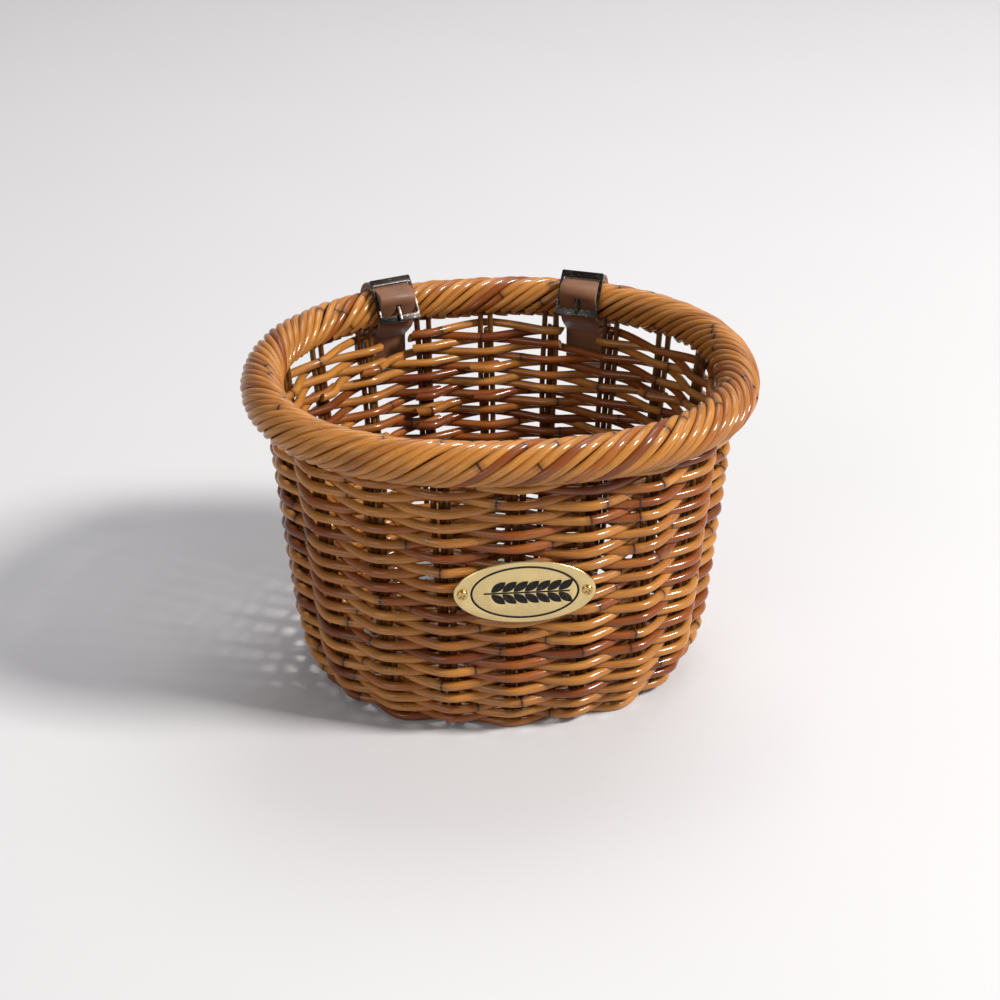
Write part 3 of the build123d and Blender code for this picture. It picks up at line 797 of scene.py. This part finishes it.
def plaque_frame():
    """Middle of the plaque's front face, with its sideways, upward and outward directions."""
    low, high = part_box("plaque")
    out = np.array([0.0, -1.0, -PLAQUE_LEAN]) / np.hypot(1, PLAQUE_LEAN)
    up = np.array([0.0, -PLAQUE_LEAN, 1.0]) / np.hypot(1, PLAQUE_LEAN)
    across = np.array([1.0, 0.0, 0.0])
    half_height = (high[2] - low[2]) / 2
    front = low[1] + half_height * PLAQUE_LEAN
    middle = np.array([(low[0] + high[0]) / 2, front, (low[2] + high[2]) / 2])
    return middle, across, up, out


def leaf_outline(length, width, points=14):
    """Pointed leaf along +Y: x = +-width/2 sin(pi t)^0.8, y = length t."""
    t = np.linspace(0, 1, points)
    side = width / 2 * np.sin(np.pi * t) ** 0.8
    right = np.stack([side, length * t], 1)
    left = np.stack([-side[::-1], length * t[::-1]], 1)[1:-1]
    return np.concatenate([right, left])


def turned(points, angle, at):
    """Points turned about the origin and moved."""
    c, s = np.cos(angle), np.sin(angle)
    return points @ np.array([[c, s], [-s, c]]) + np.asarray(at)


def ring_outline(half_width, half_height, thickness):
    """Quads between two ovals: an elliptic line of one thickness."""
    t = np.linspace(0, TAU, 97)[:-1]
    outer = np.stack([half_width * np.cos(t), half_height * np.sin(t)], 1)
    inner = np.stack([(half_width - thickness) * np.cos(t), (half_height - thickness) * np.sin(t)], 1)
    return outer, inner


def sprig_shapes():
    """Outlines of a leafy sprig: a straight stem and seven pairs of leaves."""
    x = np.linspace(-22, 24, 40)
    shapes = [np.concatenate([np.stack([x, 0 * x + 0.5], 1), np.stack([x[::-1], 0 * x - 0.5], 1)])]
    for pair in range(-3, 4):
        for side, angle in ((1, -50), (-1, -130)):
            shapes.append(turned(leaf_outline(9.9, 4.8), np.radians(angle), (pair * 6.0, side * 0.8)))
    return shapes


class BASKET_OT_plaque(bpy.types.Operator):
    """Finish the brass plaque, its screws and the black fill of its engraving"""

    bl_idname = "basket.plaque"
    bl_label = "Finish the plaque"

    def execute(self, context):
        c = colours()
        plate = merged_copy("plaque", "brass_plate", 0.1 * MM, 2)
        assign(plate, brass("pale_satin_brass", tuple(c.plaque_brass), 0.26))
        place(plate, "basket", "plaque_brass", "plaque")
        screws = merged_copy("plaque_screws", "brass_screws", 0.12 * MM, 2)
        assign(screws, brass("bright_screw_brass", (0.66, 0.45, 0.17), 0.18))
        place(screws, "basket", "screw_brass", "plaque_screws")
        self.fill()
        return {"FINISHED"}

    def fill(self):
        """Flat black shapes a hair above the plate: the border line and the sprig."""
        middle, across, up, out = plaque_frame()
        verts, faces, count = [], [], 0

        def add(points, polygons):
            nonlocal count
            flat = points[:, :1] * across + points[:, 1:] * up
            verts.append(middle + flat * MM + out * 0.12 * MM)
            faces.extend([tuple(index + count for index in polygon) for polygon in polygons])
            count += len(points)

        outer, inner = ring_outline(29.2, 17.0, 1.2)
        ring = [(i, (i + 1) % 96, 96 + (i + 1) % 96, 96 + i) for i in range(96)]
        add(np.concatenate([outer, inner]), ring)
        for shape in sprig_shapes():
            add(shape, [tuple(range(len(shape)))])
        mesh = bpy.data.meshes.new("plaque_black_fill")
        mesh.from_pydata(np.concatenate(verts).tolist(), [], faces)
        mesh.update()
        piece = bpy.data.objects.new("plaque_black_fill", mesh)
        bpy.context.collection.objects.link(piece)
        work = bmesh.new()
        work.from_mesh(mesh)
        for face in work.faces:
            if face.normal.dot(Vector(out)) < 0:
                face.normal_flip()
        work.to_mesh(mesh)
        work.free()
        thicken = piece.modifiers.new("thickness", "SOLIDIFY")
        thicken.thickness = 0.1 * MM
        thicken.offset = -1.0
        assign(piece, enamel("black_enamel"))
        place(piece, "basket", "plaque_brass")


def assign(piece, material):
    """Give a solid from the frame one material."""
    piece.data.materials.clear()
    piece.data.materials.append(material)


def merged_copy(node, name, bevel, segments=2):
    """A joined-up copy of a solid's mesh with its sharp edges rounded by a bevel."""
    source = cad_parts[node]
    mesh = source.data.copy()
    mesh.name = name
    work = bmesh.new()
    work.from_mesh(mesh)
    work.transform(source.matrix_world)
    bmesh.ops.remove_doubles(work, verts=work.verts, dist=0.004 * MM)
    bmesh.ops.dissolve_limit(work, angle_limit=np.radians(1.0), verts=work.verts, edges=work.edges)
    bmesh.ops.recalc_face_normals(work, faces=work.faces)
    work.to_mesh(mesh)
    work.free()
    piece = bpy.data.objects.new(name, mesh)
    bpy.context.collection.objects.link(piece)
    rounding = piece.modifiers.new("rounded_edges", "BEVEL")
    rounding.width = bevel
    rounding.segments = segments
    rounding.limit_method = "ANGLE"
    rounding.angle_limit = np.radians(35)
    rounding.harden_normals = True
    mesh.polygons.foreach_set("use_smooth", np.ones(len(mesh.polygons), bool))
    return piece


def leather_sides(piece, share):
    """Mark the flesh side of a strap: 1 where the surface faces the middle of the roll or the loop.

    In the strap's own upright plane the roll's middle is (0, rim height) and the loop's middle
    is (14.6, 146) mm. A face is flesh side if it looks towards the middle that is nearer to it.
    """
    middle, out = around(share, RIM_LINE)
    mesh = piece.data
    count = len(mesh.polygons)
    centre, normal = np.empty(count * 3), np.empty(count * 3)
    mesh.polygons.foreach_get("center", centre)
    mesh.polygons.foreach_get("normal", normal)
    centre, normal = centre.reshape(-1, 3), normal.reshape(-1, 3)
    out3 = np.array([out[0], out[1], 0.0])
    along = np.array([-out[1], out[0], 0.0])
    y = (centre - np.array([middle[0], middle[1], 0.0])) @ out3
    z = centre[:, 2]
    to_roll = np.stack([-y, RIM_HEIGHT - z], 1)
    to_loop = np.stack([14.6 * MM - y, 146 * MM - z], 1)
    roll = np.linalg.norm(to_roll, axis=1) - 13.7 * MM
    loop = np.linalg.norm(to_loop, axis=1) - 13.7 * MM
    to = np.where((np.abs(roll) < np.abs(loop))[:, None], to_roll, to_loop)
    facing = (np.stack([normal @ out3, normal[:, 2]], 1) * to).sum(1) / np.linalg.norm(to, axis=1)
    flesh = (facing > 0.2).astype(float)
    flesh[np.abs(normal @ along) > 0.7] = 0.75
    mesh.attributes.new("flesh", "FLOAT", "FACE").data.foreach_set("value", flesh.astype(np.float32))


class BASKET_OT_straps(bpy.types.Operator):
    """Make the two leather straps"""

    bl_idname = "basket.straps"
    bl_label = "Make the straps"

    def execute(self, context):
        c = colours()
        material = leather("brown_strap_leather", tuple(c.strap_brown), tuple(c.strap_flesh))
        for side, share in STRAPS.items():
            piece = merged_copy(f"strap_{side}", f"leather_strap_{side}", 0.35 * MM)
            leather_sides(piece, share)
            assign(piece, material)
            place(piece, f"strap_{side}", "strap_leather", f"strap_{side}")
        return {"FINISHED"}


class BASKET_OT_buckles(bpy.types.Operator):
    """Finish the buckle frames and tongues"""

    bl_idname = "basket.buckles"
    bl_label = "Finish the buckles"

    def execute(self, context):
        material = gunmetal("dark_gunmetal", tuple(colours().buckle_dark))
        for side in STRAPS:
            for node, body, bevel in (
                (f"buckle_frame_{side}", f"buckle_{side}", 0.5 * MM),
                (f"buckle_tongue_{side}", f"tongue_{side}", 0.4 * MM),
            ):
                piece = merged_copy(node, f"plated_{node}", bevel, 3)
                assign(piece, material)
                place(piece, body, "buckle_metal", node)
        return {"FINISHED"}


def area_light(name, place_at, aim, size, power, tint):
    """A soft rectangular light pointed at a place."""
    light = bpy.data.lights.new(name, "AREA")
    light.shape = "RECTANGLE"
    light.size, light.size_y = size
    light.energy = power
    light.color = tint
    lamp = bpy.data.objects.new(name, light)
    lamp.location = place_at
    lamp.rotation_euler = (Vector(aim) - Vector(place_at)).to_track_quat("-Z", "Y").to_euler()
    bpy.context.collection.objects.link(lamp)


class BASKET_OT_stage(bpy.types.Operator):
    """Set out the floor, the soft lights and the camera"""

    bl_idname = "basket.stage"
    bl_label = "Set the stage"

    def execute(self, context):
        self.floor()
        area_light("key_light", (2.7, -1.1, 2.7), (0, 0, 0.1), (0.75, 0.75), 212.0, (1.0, 0.98, 0.95))
        area_light("fill_light", (-2.2, -2.6, 1.8), (0, 0, 0.08), (2.0, 1.6), 26.0, (0.95, 0.97, 1.0))
        area_light("top_light", (0.5, 1.2, 2.7), (0, 0, 0.1), (1.8, 1.5), 32.0, (1.0, 1.0, 1.0))
        world = bpy.data.worlds.new("studio")
        world.use_nodes = True
        world.node_tree.nodes["Background"].inputs["Color"].default_value = (0.93, 0.94, 0.96, 1.0)
        world.node_tree.nodes["Background"].inputs["Strength"].default_value = 0.34
        context.scene.view_settings.view_transform = "Standard"
        context.scene.world = world
        self.camera(context)
        return {"FINISHED"}

    def floor(self):
        """A sheet that rises behind: flat, then a quarter circle up, as one swept profile."""
        half, back, radius, top = 4.0, 2.6, 1.2, 3.2
        turn = np.linspace(0, np.pi / 2, 24)
        y = np.concatenate([[-4.0], back + radius * np.sin(turn), [back + radius]])
        z = np.concatenate([[0.0], radius * (1 - np.cos(turn)), [top]])
        verts = [(x, a, b) for a, b in zip(y, z) for x in (-half, half)]
        faces = [(2 * i, 2 * i + 1, 2 * i + 3, 2 * i + 2) for i in range(len(y) - 1)]
        mesh = bpy.data.meshes.new("backdrop")
        mesh.from_pydata(verts, [], faces)
        mesh.polygons.foreach_set("use_smooth", np.ones(len(faces), bool))
        mesh.materials.append(paint("pale_floor", (0.575, 0.565, 0.575), 0.7))
        sheet = bpy.data.objects.new("backdrop", mesh)
        bpy.context.collection.objects.link(sheet)

    def camera(self, context):
        """Camera a little left of the front, looking down 28 degrees, with a longish lens."""
        azimuth, elevation, roll = np.radians([-4.5, 28.23, -0.23])
        back = Vector((np.sin(azimuth) * np.cos(elevation), -np.cos(azimuth) * np.cos(elevation), np.sin(elevation)))
        data = bpy.data.cameras.new("camera")
        data.sensor_width = 36.0
        data.lens = 67.61
        data.clip_end = 50.0
        view = bpy.data.objects.new("camera", data)
        view.location = Vector((0, 0, 99.95 * MM)) + back * 1.0962
        view.rotation_euler = ((-back).to_track_quat("-Z", "Y").to_matrix() @ Matrix.Rotation(roll, 3, "Z")).to_euler()
        context.collection.objects.link(view)
        context.scene.camera = view


class BASKET_PT_panel(bpy.types.Panel):
    """Lists the basket's pieces in the sidebar"""

    bl_label = "Basket"
    bl_space_type = "VIEW_3D"
    bl_region_type = "UI"
    bl_category = "Basket"

    def draw(self, context):
        for operator in OPERATORS:
            self.layout.operator(operator.bl_idname)
        for group in (sizes(), colours()):
            for name in group.__annotations__:
                self.layout.prop(group, name)


OPERATORS = (
    BASKET_OT_stage,
    BASKET_OT_base,
    BASKET_OT_stakes,
    BASKET_OT_weave,
    BASKET_OT_rim,
    BASKET_OT_plaque,
    BASKET_OT_straps,
    BASKET_OT_buckles,
)
CLASSES = (BasketSizes, BasketColours, *OPERATORS, BASKET_PT_panel)


def register():
    for cls in CLASSES:
        bpy.utils.register_class(cls)
    bpy.types.Scene.basket_sizes = PointerProperty(type=BasketSizes)
    bpy.types.Scene.basket_colours = PointerProperty(type=BasketColours)


def unregister():
    del bpy.types.Scene.basket_colours
    del bpy.types.Scene.basket_sizes
    for cls in reversed(CLASSES):
        bpy.utils.unregister_class(cls)


def main():
    register()
    bpy.ops.basket.stage()
    bpy.ops.basket.base()
    bpy.ops.basket.stakes()
    bpy.ops.basket.weave()
    bpy.ops.basket.rim()
    bpy.ops.basket.plaque()
    bpy.ops.basket.straps()
    bpy.ops.basket.buckles()


if __name__ == "__main__":
    main()
